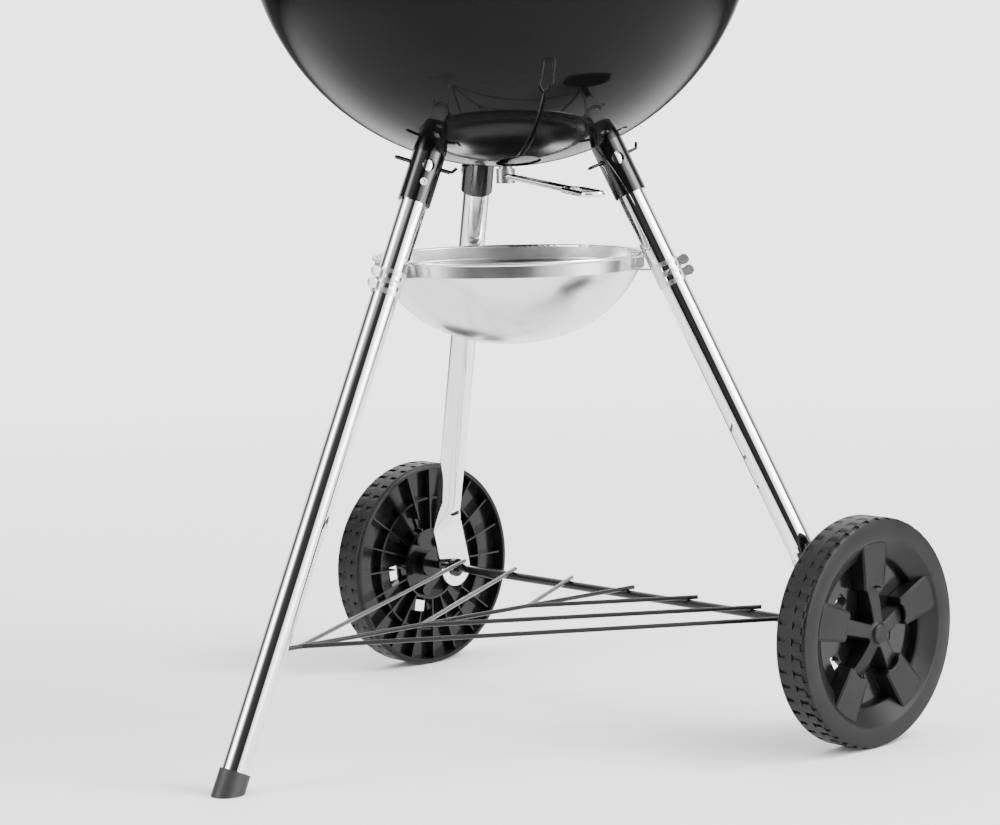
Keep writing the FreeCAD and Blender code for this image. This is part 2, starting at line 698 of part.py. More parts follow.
def build_wheel(name, side):
    place = wheel_frame(side)
    half = "Dim.wheel_width / 2"
    inner = "(Dim.wheel_radius - Dim.wheel_wall)"
    bore = "(Dim.axle_radius + Dim.running_clearance)"

    rim = revolved(f"wheel_{name}_rim_turned", [
        ("Dim.wheel_radius - 3", f"-{half}"),
        ("Dim.wheel_radius", f"-{half} + 3"),
        ("Dim.wheel_radius", f"{half} - 4"),
        ("Dim.wheel_face_radius", f"{half}"),
        ("82.5", f"{half}"),
        ("66", f"{half} - 10"),
        ("63", f"{half} - 10"),
        ("63", f"{half} - 12.6"),
        ("66.8", f"{half} - 12.6"),
        ("83.3", f"{half} - 2.8"),
        (inner, f"{half} - 2.8"),
        (inner, f"-{half}"),
    ])
    node(rim, f"wheel_{name}_rim", UNDER.multiply(place))

    core = revolved(f"wheel_{name}_core_turned", [
        (bore, f"-{half} + 2"),
        ("Dim.hub_radius", f"-{half} + 2"),
        ("Dim.hub_radius", "-4"),
        (inner, "-4"),
        (inner, "-1.5"),
        ("Dim.hub_radius", "-1.5"),
        ("Dim.hub_radius", f"{half} - 12"),
        (bore, f"{half} - 12"),
    ])
    ribs = []
    for index in range(int(dim("rib_number"))):
        around = turn(Z, index * 360 / dim("rib_number"))
        ribs.append(box(f"wheel_{name}_rib{index}", f"{inner} - 35", 1.6, 9,
                        around.multiply(shift(35, -0.8, -13))))
    drum = revolved(f"wheel_{name}_drum", [
        ("34", "-13.5"),
        ("36", "-13.5"),
        ("36", "-4"),
        ("34", "-4"),
    ])
    bosses = []
    for index in range(int(dim("spoke_number"))):
        angle = dim("spoke_phase") + 36 + index * 72
        spot = turn(Z, angle).multiply(shift(27, 0, -11))
        bosses.append(cylinder(f"wheel_{name}_boss{index}", 5.5, 9.5, spot))
    openings = []
    for index in range(int(dim("spoke_number"))):
        spot = turn(Z, dim("spoke_phase") + 36 + 72 * index).multiply(shift(38, -7, -20))
        openings.append(box(f"wheel_{name}_opening{index}", 11, 14, 30, spot))
    blank = fuse(f"wheel_{name}_core_blank", [core, drum] + ribs + bosses)
    node(cut(f"wheel_{name}_core", blank, openings), f"wheel_{name}_core", UNDER.multiply(place))

    spokes = []
    for index in range(int(dim("spoke_number"))):
        around = turn(Z, dim("spoke_phase") + 72 * index)
        paddle = padded(f"wheel_{name}_paddle{index}", [
            ("39", "-13"),
            ("62.8", "-15.5"),
            ("62.8", "15.5"),
            ("39", "13"),
        ], "9", around.multiply(shift(0, 0, -1.5)))
        bar = padded(f"wheel_{name}_bar{index}", [
            ("10", "-6.5"),
            ("41", "-8"),
            ("41", "8"),
            ("10", "6.5"),
        ], "4", around.multiply(shift(0, 0, -1.5)))
        spokes += [paddle, bar]
    collar = revolved(f"wheel_{name}_collar", [
        ("Dim.hub_radius", "-1.5"),
        ("Dim.hub_radius + 3", "-1.5"),
        ("Dim.hub_radius + 3", "4"),
        ("10", "8"),
        ("6", "8"),
        ("6", f"{half} - 12"),
        ("Dim.hub_radius", f"{half} - 12"),
    ])
    web = fuse(f"wheel_{name}_spokes_blank", spokes + [collar])
    core_clear = cylinder(f"wheel_{name}_core_clear", "Dim.hub_radius", f"{half} - 10.5",
                          shift(0, 0, -1.5))
    keep = cylinder(f"wheel_{name}_spokes_reach", 62.95, 40, shift(0, 0, -10))
    trimmed = common(f"wheel_{name}_spokes_trimmed", [web, keep])
    node(cut(f"wheel_{name}_spokes", trimmed, [core_clear]), f"wheel_{name}_spokes",
         UNDER.multiply(place))


# -------------------------------------------------------------------- rack

def rack_level():
    """Height of a rack wire's axis where it lies on the axle."""
    return dim("axle_height") + dim("axle_radius") + dim("rack_wire_radius")


def spine_ends():
    start = Vector(-dim("foot_leg_reach") + 55, 0, rack_level() + dim("rack_rise") + 0.4)
    end = Vector(dim("axle_offset") + dim("rack_overhang"), 0, rack_level() - 0.1)
    return start, end


def build_rack():
    """A wire shelf: a spine from the foot leg to the axle, and V wires welded to it that lie on
    the axle."""
    start, end = spine_ends()
    node(rod("rack_spine_rod", start, end, "Dim.rack_wire_radius"), "rack_spine", UNDER)

    axle_u = dim("axle_offset")
    end_u = axle_u + dim("rack_overhang")
    run = axle_u - dim("rack_vertex_1")
    wires = []
    for index in (1, 2, 3):
        vertex_u = dim(f"rack_vertex_{index}")
        half = dim(f"rack_half_width_{index}")
        share = (end_u - vertex_u) / (axle_u - vertex_u)
        tip = Vector(vertex_u, 0, rack_level() + dim("rack_rise") * (axle_u - vertex_u) / run)
        end_level = rack_level() - dim("rack_rise") * dim("rack_overhang") / run
        pieces = [sphere(f"rack_vertex{index}", "Dim.rack_wire_radius + 0.3", shift(*tip))]
        for side in (-1, 1):
            corner = Vector(end_u, side * half * share, end_level)
            pieces.append(rod(f"rack_wire{index}{side + 1}", tip, corner, "Dim.rack_wire_radius"))
        room = rod(f"rack_spine_room{index}", start, end, "Dim.rack_wire_radius + 0.02")
        wires.append(cut(f"rack_v{index}", fuse(f"rack_v{index}_blank", pieces), [room]))
    node(group("rack_wires", wires), "rack_wires", UNDER)


# ------------------------------------------------------- ash pan and clamps

def build_pan():
    """A spun dish with a rolled rim and a straight band under it. Two arcs make its section: a
    wide one under the middle and a tighter one that runs from it up to the band."""
    sheet_size = "Dim.pan_sheet"
    band = "(Dim.pan_radius - 2.5)"
    lip = "(Dim.pan_radius - 6)"
    depth = "(Dim.pan_depth - Dim.pan_band)"
    floor = "Dim.pan_floor_radius"
    sine = "sin(Dim.pan_floor_angle)"
    cosine = "cos(Dim.pan_floor_angle)"
    meet_r = f"({floor} * {sine})"
    meet_h = f"({floor} * (1 - {cosine}))"
    across = f"({lip} - {meet_r})"
    up = f"({depth} - {meet_h})"
    flank = f"(({across}^2 + {up}^2) / (2 * ({up} * {cosine} - {across} * {sine})))"
    centre_r = f"({meet_r} - {flank} * {sine})"
    inner_lip = f"({lip} - {sheet_size} - 0.2)"
    inner_drop = f"sqrt(({flank} - {sheet_size})^2 - ({inner_lip} - {centre_r})^2)"
    inner_z = f"(-Dim.pan_depth + {meet_h} + {flank} * {cosine} - {inner_drop})"
    shell = revolved("ash_pan_shell", [
        ("0", "-Dim.pan_depth", floor, 1),
        (meet_r, f"-Dim.pan_depth + {meet_h}", flank, 1),
        (lip, "-Dim.pan_band"),
        (band, "-Dim.pan_band"),
        (band, "-0.5"),
        (f"{band} - {sheet_size}", "-0.5"),
        (f"{band} - {sheet_size}", f"-Dim.pan_band + {sheet_size}"),
        (inner_lip, f"-Dim.pan_band + {sheet_size}"),
        (inner_lip, inner_z, f"{flank} - {sheet_size}", -1),
        (f"({floor} - {sheet_size}) * {sine}",
         f"-Dim.pan_depth + {floor} - ({floor} - {sheet_size}) * {cosine}",
         f"{floor} - {sheet_size}", -1),
        ("0", f"-Dim.pan_depth + {sheet_size}"),
    ], [("Dim.pan_radius - 1.8", "-0.6", "1.8")])
    shell.Placement = shift(dim("pan_shift"), 0, dim("pan_rim_height") - 1.2)
    node(shell, "ash_pan", UNDER)


def build_clamps():
    """A slotted strap round each leg with two ears outwards and a fork that holds the pan's rim."""
    for name, place in LEGS.items():
        kind = "foot_leg" if name == "foot" else "wheel_leg"
        slope = dim(kind + "_slope")
        reach = dim(kind + "_reach")
        level = dim("clamp_height") * slope_length(slope)
        low = level - dim("clamp_width") / 2
        strap = cylinder(f"clamp_{name}_strap", "Dim.leg_radius + Dim.clamp_sheet", "Dim.clamp_width",
                         place.multiply(shift(0, 0, low)))
        radius = dim("leg_radius")
        ears = []
        for index, height in enumerate((5.2, -5.2)):
            ear_way = place.multiply(shift(radius + 0.4, 0, level + height)).multiply(turn(X, 90))
            ears.append(padded(f"clamp_{name}_ear{index}", [
                ("0", "-3.4"),
                ("5.5", "-4.6", "4.6", 1),
                ("10.1", "0", "4.6", 1),
                ("5.5", "4.6"),
                ("0", "3.4"),
            ], "2.4", ear_way, True))
        lower_z = dim("pan_rim_height") - dim("pan_band") - 2.55
        upper_z = dim("pan_rim_height") + 0.35
        angle = {"foot": 180, "near": -60, "back": 60}[name]
        around = turn(Z, angle)
        pan_edge = dim("pan_radius") + dim("pan_shift") * math.cos(math.radians(angle))
        lower_leg = reach - slope * lower_z - radius * 0.5
        upper_leg = reach - slope * upper_z - radius * 0.5
        lower = box(f"clamp_{name}_lower", lower_leg - pan_edge + 5.6, 12, 1.2,
                    around.multiply(shift(pan_edge - 5.6, -6, lower_z)))
        upper = box(f"clamp_{name}_upper", upper_leg - pan_edge + 5, 7, 1.1,
                    around.multiply(shift(pan_edge - 5, -3.5, upper_z)))
        back = cylinder(f"clamp_{name}_riser", "Dim.leg_radius + Dim.clamp_sheet", 31,
                        place.multiply(shift(0, 0, level + 2)))
        keep = place.multiply(shift(-30, -6, level))
        riser = common(f"clamp_{name}_riser_trimmed", [
            back, box(f"clamp_{name}_riser_space", 28, 12, 60, keep)])
        blank = fuse(f"clamp_{name}_blank", [strap, lower, upper, riser] + ears)
        bore = cylinder(f"clamp_{name}_bore", "Dim.leg_radius + 0.05", "140",
                        place.multiply(shift(0, 0, level - 60)))
        slots = []
        for index, height in enumerate((4.6, -4.6)):
            for way in (-1, 1):
                slot = place.multiply(shift(0, 0, level + height - 2.1)).multiply(turn(Z, way * 62))
                slots.append(box(f"clamp_{name}_slot{index}{way + 1}", 20, 15, 4.2,
                                 slot.multiply(shift(0, -7.5, 0))))
        node(cut(f"pan_clamp_{name}", blank, [bore] + slots), f"pan_clamp_{name}", UNDER)


# --------------------------------------------------------------------- lid

def lid_base():
    """Height of the lid's bead centre above the floor."""
    bead = dim("rim_bead_radius")
    return dim("bowl_centre_height") + 2 + dim("bowl_sheet") / 2 + 2 * bead + dim("lid_gap")


def lid_surface(angle_from_crown):
    """A point of the lid's outer surface and its normal, both in the (r, z) plane of the lid."""
    crown = dim("lid_crown_radius")
    top = lid_base() + dim("lid_rise")
    angle = math.radians(angle_from_crown)
    normal = Vector(math.sin(angle), 0, math.cos(angle))
    return Vector(0, 0, top - crown).add(normal * crown), normal


def build_lid():
    sheet_size = "Dim.lid_sheet"
    shoulder = "Dim.lid_shoulder_radius"
    crown = "Dim.lid_crown_radius"
    side = "(Dim.lid_radius - Dim.lid_shoulder_radius)"
    # the crown's arc and the shoulder's arc meet where both centres line up
    drop = "(Dim.lid_crown_radius - Dim.lid_rise)"
    reach = f"({crown} - {shoulder})"
    meet_r = f"({side} * {crown} / {reach})"
    meet_z = f"(-{drop} + {drop} * {crown} / {reach})"
    inner_crown = f"({crown} - {sheet_size})"
    inner_shoulder = f"({shoulder} - {sheet_size})"
    meet_inner_r = f"({side} * {inner_crown} / {reach})"
    meet_inner_z = f"(-{drop} + {drop} * {inner_crown} / {reach})"
    skirt = "Dim.skirt_radius"
    shell = revolved("lid_shell_turned", [
        ("0", f"Dim.lid_rise - {sheet_size}", inner_crown, -1),
        (meet_inner_r, meet_inner_z, inner_shoulder, -1),
        (f"Dim.lid_radius - {sheet_size}", "0"),
        (f"Dim.lid_radius - {sheet_size}", "-1.5"),
        (f"{skirt} - {sheet_size}", "-1.5"),
        (f"{skirt} - {sheet_size}", "-1.5 - Dim.skirt_depth"),
        (skirt, "-1.5 - Dim.skirt_depth"),
        (skirt, f"-1.5 - {sheet_size}"),
        ("Dim.lid_radius + 2", f"-1.5 - {sheet_size}"),
        ("Dim.lid_radius + 2", "0"),
        ("Dim.lid_radius", "0", shoulder, 1),
        (meet_r, meet_z, crown, 1),
        ("0", "Dim.lid_rise"),
    ], [("Dim.bowl_radius + Dim.rim_flange + 1", "0", "Dim.rim_bead_radius")])
    shell.Placement = shift(0, 0, lid_base())
    damper_way = damper_frame()
    holes = []
    for index in range(4):
        spot = damper_way.multiply(turn(Z, 45 + 90 * index)).multiply(shift(19, 0, -12))
        holes.append(cylinder(f"lid_vent{index}", 7.5, 24, spot))
    holes.append(cylinder("lid_damper_hole", 2.5, 24, damper_way.multiply(shift(0, 0, -12))))
    for side in (-1, 1):
        holes.append(cylinder(f"lid_screw_hole{side + 1}", 2.5, 30,
                              shift(0, side * 50, lid_base() + dim("lid_rise") - 20)))
    node(cut("lid_shell", shell, holes), "lid_shell", FRAME)


def damper_frame():
    """Origin on the lid's outer surface at the damper's middle, +Z along the surface's normal."""
    point, normal = lid_surface(dim("damper_tilt"))
    around = turn(Z, -90)
    across = Vector(normal.z, 0, -normal.x)
    rotation = Rotation(across, Y, normal, "XYZ")
    return around.multiply(Placement(point, rotation))


def build_damper():
    """A round plate with holes that line up with those of the lid, on a rivet."""
    place = damper_frame()
    plate = cylinder("damper_plate", "Dim.damper_radius", 1.5, shift(0, 0, 1.4))
    raised = cylinder("damper_boss", 9, 2.6, shift(0, 0, 1.4))
    tab = padded("damper_tab", [
        ("24", "-9"),
        ("44", "-6"),
        ("48", "-3"),
        ("48", "3"),
        ("44", "6"),
        ("24", "9"),
    ], "1.5", shift(0, 0, 1.4))
    grip = box("damper_grip", 2, 12, 12, shift(44, -6, 1.4))
    holes = []
    for index in range(4):
        around = turn(Z, 90 * index)
        holes.append(cylinder(f"damper_hole{index}", 7.5, 6, around.multiply(shift(19, 0, 0))))
    holes.append(cylinder("damper_bore", 2.55, 8, shift(0, 0, 0)))
    node(cut("lid_damper", fuse("damper_blank", [plate, raised, tab, grip]), holes),
         "lid_damper", FRAME.multiply(place))
    stem = cylinder("damper_rivet_stem", 2.5, 8.5, shift(0, 0, -3.5))
    head = cylinder("damper_rivet_head", 5, 1.6, shift(0, 0, 4.4))
    ring = cylinder("damper_rivet_seat", 5, 1.6, shift(0, 0, -3.5))
    node(fuse("damper_rivet", [stem, head, ring]), "damper_rivet", FRAME.multiply(place))


def grip_shape(name, place):
    """A rounded bar with a bore for its wire; its length lies along Y."""
    half = "Dim.grip_length / 2"
    bar = revolved(name, [
        ("Dim.handle_wire_radius + 0.05", f"-{half}"),
        ("Dim.grip_radius - 4", f"-{half}"),
        ("Dim.grip_radius - 1", f"-{half} + 5"),
        ("Dim.grip_radius", f"-{half} + 18"),
        ("Dim.grip_radius", f"{half} - 18"),
        ("Dim.grip_radius - 1", f"{half} - 5"),
        ("Dim.grip_radius - 4", half),
        ("Dim.handle_wire_radius + 0.05", half),
    ])
    bar.Placement = place.multiply(turn(X, -90))
    return bar


def build_lid_handle():
    """A wire bail on a heat shield, with a grip along Y, held by screws from inside the lid."""
    top = lid_base() + dim("lid_rise")
    wire_z = top + 46
    span = 50
    bail = bent_rod("lid_bail_wire", [
        Vector(0, -span, top + 2.2),
        Vector(0, -span - 14, wire_z),
        Vector(0, span + 14, wire_z),
        Vector(0, span, top + 2.2),
    ], "Dim.handle_wire_radius", 9)
    screws = []
    for side in (-1, 1):
        screws.append(cylinder(f"lid_screw{side + 1}", 5, 2.5, shift(0, side * span, top - 12)))
    node(bail, "lid_handle_bail", FRAME)
    node(grip_shape("lid_grip", shift(0, 0, wire_z)), "lid_handle_grip", FRAME)
    ball = sphere("lid_shield_ball", "Dim.lid_crown_radius", shift(0, 0, top - dim("lid_crown_radius")))
    plate = cylinder("lid_shield_plate", 38, 6, shift(0, 0, top - 4))
    seats = cylinder("lid_shield_hollow", 33, 6, shift(0, 0, top + 1.2))
    node(cut("lid_handle_shield", plate, [ball, seats] + [
        cylinder(f"lid_shield_hole{side + 1}", "Dim.handle_wire_radius", 12,
                 shift(0, side * span, top - 6)) for side in (-1, 1)]),
         "lid_handle_shield", FRAME)
    node(group("lid_screws", screws), "lid_screws", FRAME)


def build_side_handles():
    """A bail welded to each side of the bowl, with a grip that lies along Y."""
    height = dim("side_handle_height")
    inside = dim("bowl_radius")
    drop = dim("bowl_centre_height") - height
    names = {"right": 0, "left": 180}
    for name, angle in names.items():
        around = turn(Z, angle)
        reach = inside + 52
        root = math.sqrt(inside ** 2 - drop ** 2 - 46 ** 2)
        bail = bent_rod(f"side_bail_{name}_wire", [
            Vector(root - 6, -46, height),
            Vector(root + 18, -66, height + 2),
            Vector(reach, -66, height + 8),
            Vector(reach, 66, height + 8),
            Vector(root + 18, 66, height + 2),
            Vector(root - 6, 46, height),
        ], "Dim.handle_wire_radius", 9)
        ball = sphere(f"side_bail_{name}_ball", "Dim.bowl_radius",
                      shift(0, 0, dim("bowl_centre_height")))
        bail.Placement = around
        node(cut(f"side_handle_bail_{name}", bail, [ball]), f"side_handle_bail_{name}", FRAME)
        grip = grip_shape(f"side_grip_{name}", around.multiply(shift(reach, 0, height + 8)))
        node(grip, f"side_handle_grip_{name}", FRAME)


# ------------------------------------------------------------------ grates

def build_grate(name, radius, height, pitch):
    """Parallel bars that lie on a hoop and on two cross bars; each bar is a piece of its own."""
    thick = dim("grate_hoop_radius")
    reach = value(radius)
    level = value(height)
    bar_level = level + thick + dim("grate_wire_radius")
    hoop = torus(f"{name}_hoop_wire", radius, "Dim.grate_hoop_radius", shift(0, 0, level))
    node(hoop, f"{name}_hoop", FRAME)
    pieces = []
    count = int((reach - 8) / pitch)
    for index in range(-count, count + 1):
        offset = index * pitch
        half = math.sqrt((reach + 1) ** 2 - offset ** 2)
        pieces.append(rod(f"{name}_bar{index + count}", Vector(offset, -half, bar_level),
                          Vector(offset, half, bar_level), "Dim.grate_wire_radius"))
    for side in (-1, 1):
        offset = side * reach * 0.45
        half = math.sqrt((reach - thick) ** 2 - (abs(offset) + thick) ** 2)
        pieces.append(rod(f"{name}_cross{side + 1}", Vector(-half, offset, level + 0.4),
                          Vector(half, offset, level + 0.4), "Dim.grate_hoop_radius - 0.4"))
    node(group(name, pieces), name, FRAME)


def build_grate_handles():
    """Two wire grabs that stand on the cooking grate's hoop."""
    reach = dim("grate_radius")
    level = dim("grate_height") + dim("grate_hoop_radius")
    for name, side in (("right", 1), ("left", -1)):
        grab = bent_rod(f"grate_handle_{name}_wire", [
            Vector(side * (reach - 0.5), -34, level - 1),
            Vector(side * (reach - 5), -34, level + 15),
            Vector(side * (reach - 5), 34, level + 15),
            Vector(side * (reach - 0.5), 34, level - 1),
        ], "Dim.grate_hoop_radius - 0.4", 6)
        hoop = torus(f"grate_handle_{name}_seat", "Dim.grate_radius", "Dim.grate_hoop_radius",
                     shift(0, 0, dim("grate_height")))
        node(cut(f"grate_handle_{name}", grab, [hoop]), f"grate_handle_{name}", FRAME)


def build_all():
    build_bowl()
    build_grate_supports()
    build_sweeper()
    build_legs()
    build_clips_and_rivets()
    build_foot_leg()
    build_wheel_leg("near", -1)
    build_wheel_leg("back", 1)
    build_axle()
    build_wheel("near", -1)
    build_wheel("back", 1)
    build_rack()
    build_pan()
    build_clamps()
    build_lid()
    build_damper()
    build_lid_handle()
    build_side_handles()
    build_grate("cooking_grate", "Dim.grate_radius", "Dim.grate_height", 17)
    build_grate_handles()
    build_grate("charcoal_grate", "Dim.charcoal_radius", "Dim.charcoal_height", 26)


build_all()
doc.recompute()
bad = []
for item in doc.Objects:
    if "Invalid" in item.State or "Error" in item.State:
        bad.append(f"{item.Name} {item.State}")
for item in nodes:
    if item.Shape.isNull() or not item.Shape.isValid():
        bad.append(f"{item.Label} has no valid shape")
if bad:
    raise RuntimeError("; ".join(bad))
os.makedirs("parts", exist_ok=True)
for item in nodes:
    item.Shape.exportStep(f"parts/{item.Label}.step")
    extent = item.Shape.optimalBoundingBox(False, True)
    print(f"{item.Label:24s} solids {len(item.Shape.Solids)} volume {item.Shape.Volume:10.1f} "
          f"x {extent.XMin:7.1f} {extent.XMax:7.1f} y {extent.YMin:7.1f} {extent.YMax:7.1f} "
          f"z {extent.ZMin:7.1f} {extent.ZMax:7.1f}")
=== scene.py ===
import json
import math

import bpy
from mathutils import Matrix, Vector


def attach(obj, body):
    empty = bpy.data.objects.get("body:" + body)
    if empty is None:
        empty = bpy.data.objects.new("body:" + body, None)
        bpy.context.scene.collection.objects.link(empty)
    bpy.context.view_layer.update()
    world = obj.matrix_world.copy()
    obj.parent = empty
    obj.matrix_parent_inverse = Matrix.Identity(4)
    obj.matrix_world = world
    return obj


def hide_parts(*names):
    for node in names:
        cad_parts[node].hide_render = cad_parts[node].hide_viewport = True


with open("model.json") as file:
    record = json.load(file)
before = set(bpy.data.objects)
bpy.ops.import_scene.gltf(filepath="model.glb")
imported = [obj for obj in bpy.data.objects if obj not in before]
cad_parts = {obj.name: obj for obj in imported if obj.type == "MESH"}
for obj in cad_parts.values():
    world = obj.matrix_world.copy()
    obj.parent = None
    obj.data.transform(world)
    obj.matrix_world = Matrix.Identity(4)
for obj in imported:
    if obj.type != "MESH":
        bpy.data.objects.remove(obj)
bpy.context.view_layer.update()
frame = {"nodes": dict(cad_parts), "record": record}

BOWL_AXIS = Vector((-0.02965, -0.0742, 0.0))

# ------------------------------------------------------------------ camera
CAMERA_AZIMUTH = math.radians(-13.87)
CAMERA_ELEVATION = math.radians(6.83)
CAMERA_ROLL = math.radians(1.246)
CAMERA_DISTANCE = 2.7407
CAMERA_TARGET = BOWL_AXIS + Vector((0, 0, 0.2889))
CAMERA_LENS = 109.37
CAMERA_SHIFT_X = -0.01085


def make_camera():
    data = bpy.data.cameras.new("camera")
    data.lens = CAMERA_LENS
    data.sensor_width = 36
    data.shift_x = CAMERA_SHIFT_X
    data.clip_start = 0.05
    data.clip_end = 100
    camera = bpy.data.objects.new("camera", data)
    bpy.context.scene.collection.objects.link(camera)
    back = Vector((
        math.sin(CAMERA_AZIMUTH) * math.cos(CAMERA_ELEVATION),
        -math.cos(CAMERA_AZIMUTH) * math.cos(CAMERA_ELEVATION),
        math.sin(CAMERA_ELEVATION),
    ))
    right = Vector((0, 0, 1)).cross(back).normalized()
    up = back.cross(right)
    turned_right = right * math.cos(CAMERA_ROLL) - up * math.sin(CAMERA_ROLL)
    turned_up = up * math.cos(CAMERA_ROLL) + right * math.sin(CAMERA_ROLL)
    rotation = Matrix((turned_right, turned_up, back)).transposed()
    camera.matrix_world = Matrix.Translation(CAMERA_TARGET + back * CAMERA_DISTANCE) @ rotation.to_4x4()
    bpy.context.scene.camera = camera


# --------------------------------------------------------------- materials
class Shader:
    """A node material built up step by step; sizes of its patterns are in object space."""

    def __init__(self, name):
        self.material = bpy.data.materials.new(name)
        self.material.use_nodes = True
        self.tree = self.material.node_tree
        self.tree.nodes.clear()
        self.output = self.tree.nodes.new("ShaderNodeOutputMaterial")
        self.surface = self.tree.nodes.new("ShaderNodeBsdfPrincipled")
        self.link(self.surface.outputs[0], self.output.inputs["Surface"])
        self.place = self.tree.nodes.new("ShaderNodeTexCoord").outputs["Object"]

    def link(self, source, target):
        self.tree.links.new(source, target)

    def put(self, **values):
        """Sets the surface's own sockets; an underscore stands for a space in a socket's name."""
        for name, value in values.items():
            self.surface.inputs[name.replace("_", " ")].default_value = value
        return self

    def noise(self, scale, detail):
        node = self.tree.nodes.new("ShaderNodeTexNoise")
        node.inputs["Scale"].default_value = scale
        node.inputs["Detail"].default_value = detail
        self.link(self.place, node.inputs["Vector"])
        return node.outputs[0]

    def spread(self, source, low, high):
        """Maps a 0..1 value to low..high, with most of its middle stretched out."""
        node = self.tree.nodes.new("ShaderNodeMapRange")
        node.inputs["From Min"].default_value = 0.3
        node.inputs["From Max"].default_value = 0.7
        node.inputs["To Min"].default_value = low
        node.inputs["To Max"].default_value = high
        self.link(source, node.inputs["Value"])
        return node.outputs[0]

    def rough(self, low, high, scale):
        """Roughness that wanders between low and high."""
        self.link(self.spread(self.noise(scale, 3), low, high), self.surface.inputs["Roughness"])
        return self

    def tint(self, first, second, scale):
        """A base colour that wanders between two."""
        mix = self.tree.nodes.new("ShaderNodeMix")
        mix.data_type = "RGBA"
        mix.inputs["A"].default_value = (*first, 1)
        mix.inputs["B"].default_value = (*second, 1)
        self.link(self.spread(self.noise(scale, 4), 0, 1), mix.inputs["Factor"])
        self.link(mix.outputs["Result"], self.surface.inputs["Base Color"])
        return self

    def bump(self, scale, strength, distance):
        node = self.tree.nodes.new("ShaderNodeBump")
        node.inputs["Strength"].default_value = strength
        node.inputs["Distance"].default_value = distance
        self.link(self.noise(scale, 3), node.inputs["Height"])
        self.link(node.outputs[0], self.surface.inputs["Normal"])
        return self


def make_materials():
    made = {}
    made["black_enamel"] = Shader("black_enamel").put(
        Metallic=0.0, IOR=1.5, Specular_IOR_Level=0.10,
    ).tint((0.003, 0.003, 0.003), (0.005, 0.005, 0.005), 9).rough(0.04, 0.07, 14).bump(
        60, 0.02, 0.0004).material
    made["socket_enamel"] = Shader("socket_enamel").put(Metallic=0.0, Specular_IOR_Level=0.7).tint(
        (0.003, 0.003, 0.003), (0.006, 0.006, 0.006), 30).rough(0.03, 0.07, 40).material
    made["chromed_tube"] = Shader("chromed_tube").put(Metallic=1.0).tint(
        (0.84, 0.84, 0.85), (0.90, 0.90, 0.91), 12).rough(0.03, 0.06, 20).material
    made["bright_steel"] = Shader("bright_steel").put(Metallic=1.0).tint(
        (0.66, 0.66, 0.66), (0.78, 0.78, 0.78), 30).rough(0.22, 0.34, 60).bump(
        220, 0.04, 0.0003).material
    made["black_wire"] = Shader("black_wire").put(Metallic=0.0, Specular_IOR_Level=0.3).tint(
        (0.003, 0.003, 0.003), (0.006, 0.006, 0.006), 40).rough(0.18, 0.30, 60).material
    made["grate_wire"] = Shader("grate_wire").put(Metallic=1.0).tint(
        (0.58, 0.58, 0.58), (0.70, 0.70, 0.70), 30).rough(0.25, 0.40, 50).material
    made["spun_aluminium"] = Shader("spun_aluminium").put(Metallic=1.0).tint(
        (0.72, 0.72, 0.72), (0.84, 0.84, 0.84), 14).rough(0.19, 0.26, 24).material
    made["sweeper_steel"] = Shader("sweeper_steel").put(Metallic=1.0).tint(
        (0.34, 0.34, 0.35), (0.46, 0.46, 0.46), 24).rough(0.35, 0.5, 30).material
    made["wheel_plastic"] = Shader("wheel_plastic").put(Metallic=0.0, Specular_IOR_Level=0.20).tint(
        (0.004, 0.004, 0.004), (0.008, 0.008, 0.008), 26).rough(0.36, 0.46, 40).bump(
        900, 0.10, 0.0003).material
    made["wheel_core_plastic"] = Shader("wheel_core_plastic").put(
        Metallic=0.0, Specular_IOR_Level=0.35,
    ).tint((0.003, 0.003, 0.003), (0.006, 0.006, 0.006), 30).rough(0.12, 0.22, 30).material
    made["cap_plastic"] = Shader("cap_plastic").put(Metallic=0.0).tint(
        (0.005, 0.005, 0.005), (0.010, 0.010, 0.010), 60).rough(0.45, 0.6, 70).material
    made["grip_nylon"] = Shader("grip_nylon").put(Metallic=0.0).tint(
        (0.014, 0.014, 0.014), (0.022, 0.022, 0.022), 40).rough(0.38, 0.5, 60).bump(
        700, 0.08, 0.0003).material
    return made


def dress(piece, material):
    piece.data.materials.clear()
    piece.data.materials.append(material)


# ------------------------------------------------------------------ wheels
AXLE_OFFSET = 0.1484
AXLE_HEIGHT = 0.1016
WHEEL_OFFSET = 0.2871
UNDER_YAW = math.radians(30)
TREAD_BLOCKS = 45
TREAD_RADIUS = 0.1016
SPOKE_PHASE = 92
OPENING_PHASE = 137
SPOKES = 5
GROOVE_DEPTH = 0.0016
SHOULDER_CUT_DEPTH = 0.0014
TREAD_EDGE_RADIUS = 0.1005
RIM_HALF_WIDTH = 0.01615
SPOKE_BOTTOM = -0.0015
SPOKE_BEVEL = 0.0007
HUB_STEPS = 40
SMOOTH_BELOW = math.radians(32)
BEVEL_ABOVE = math.radians(40)
COVERED_GAPS = {"near": (2, 3, 4), "back": (0, 1, 4)}


def wheel_matrix(side):
    """The wheel's own frame: +Z outboard, +Y up. side is -1 for the near wheel."""
    u = Vector((math.cos(UNDER_YAW), math.sin(UNDER_YAW), 0))
    v = Vector((-math.sin(UNDER_YAW), math.cos(UNDER_YAW), 0))
    spot = BOWL_AXIS + u * AXLE_OFFSET + v * (side * WHEEL_OFFSET) + Vector((0, 0, AXLE_HEIGHT))
    across = u * -side
    rotation = Matrix((across, Vector((0, 0, 1)), v * side)).transposed()
    return Matrix.Translation(spot) @ rotation.to_4x4()


